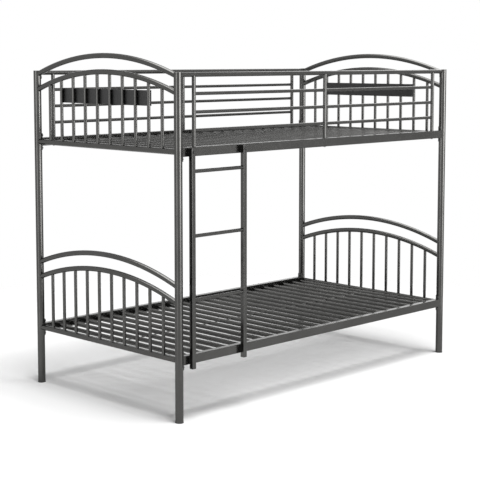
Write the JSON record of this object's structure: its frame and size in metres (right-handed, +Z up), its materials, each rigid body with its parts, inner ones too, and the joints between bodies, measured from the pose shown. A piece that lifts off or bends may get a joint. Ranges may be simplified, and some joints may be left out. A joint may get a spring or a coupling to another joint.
{
  "type": "bunk bed",
  "caption": "Tubular steel bunk bed: arched spindle ends, tubular slats, guard rails and a fixed front ladder; the upper bed lifts off the lower.",
  "frame": {"origin": "middle of the floor area that the bed and its ladder cover, on the floor", "axes": "+X along the bed towards the right-hand end, -Y towards the ladder side, +Z up"},
  "size_m": [2.0336, 1.1162, 1.6887],
  "materials": {
    "painted_steel": "gunmetal metallic paint, semi-gloss",
    "black_plastic": "satin",
    "dark_board": "near-black, matt laminate",
    "bolt_steel": "blackened steel"
  },
  "bodies": {
    "lower_bed": {"foot_caps": "black_plastic", "post_connectors": "bolt_steel", "lower_post_nuts": "bolt_steel", "lower_rail_bolts": "bolt_steel", "lower_rail_end_plates": "painted_steel", "lower_front_side_rail": "painted_steel", "lower_back_side_rail": "painted_steel", "lower_slats": "painted_steel", "lower_slat_tie_rod": "painted_steel", "lower_post_front_left": "painted_steel", "lower_post_front_right": "painted_steel", "lower_post_back_left": "painted_steel", "lower_post_back_right": "painted_steel", "lower_left_end_rail": "painted_steel", "lower_left_inner_arch": "painted_steel", "lower_left_outer_arch": "painted_steel", "lower_left_spindles": "painted_steel", "lower_right_end_rail": "painted_steel", "lower_right_inner_arch": "painted_steel", "lower_right_outer_arch": "painted_steel", "lower_right_spindles": "painted_steel"},
    "upper_bed": {"post_top_caps": "painted_steel", "upper_post_nuts": "bolt_steel", "upper_rail_bolts": "bolt_steel", "upper_rail_end_plates": "painted_steel", "upper_front_side_rail": "painted_steel", "upper_back_side_rail": "painted_steel", "upper_slats": "painted_steel", "upper_slat_tie_rod": "painted_steel", "upper_post_front_left": "painted_steel", "upper_post_front_right": "painted_steel", "upper_post_back_left": "painted_steel", "upper_post_back_right": "painted_steel", "upper_left_end_rail": "painted_steel", "upper_left_inner_arch": "painted_steel", "upper_left_outer_arch": "painted_steel", "upper_left_spindles": "painted_steel", "upper_right_end_rail": "painted_steel", "upper_right_inner_arch": "painted_steel", "upper_right_outer_arch": "painted_steel", "upper_right_spindles": "painted_steel", "upper_left_end_board": "dark_board", "upper_right_end_board": "dark_board", "end_board_screws": "bolt_steel", "guard_tab_bolts": "bolt_steel", "guard_end_tabs": "painted_steel", "guard_upright_bolts": "bolt_steel", "guard_upright_nuts": "bolt_steel", "front_guard_top_rail": "painted_steel", "front_guard_uprights": "painted_steel", "front_guard_bars": "painted_steel", "back_guard_top_rail": "painted_steel", "back_guard_uprights": "painted_steel", "back_guard_bars": "painted_steel", "ladder_left_stile": "painted_steel", "ladder_right_stile": "painted_steel", "ladder_rungs": "painted_steel", "ladder_end_plugs": "painted_steel", "ladder_spacers": "black_plastic", "ladder_bolts": "bolt_steel"}
  },
  "joints": [
    {"name": "upper_bed_lift", "type": "slide", "parent": "lower_bed", "child": "upper_bed", "axis": [0, 0, 1], "range_m": [0, 0.12]}
  ]
}
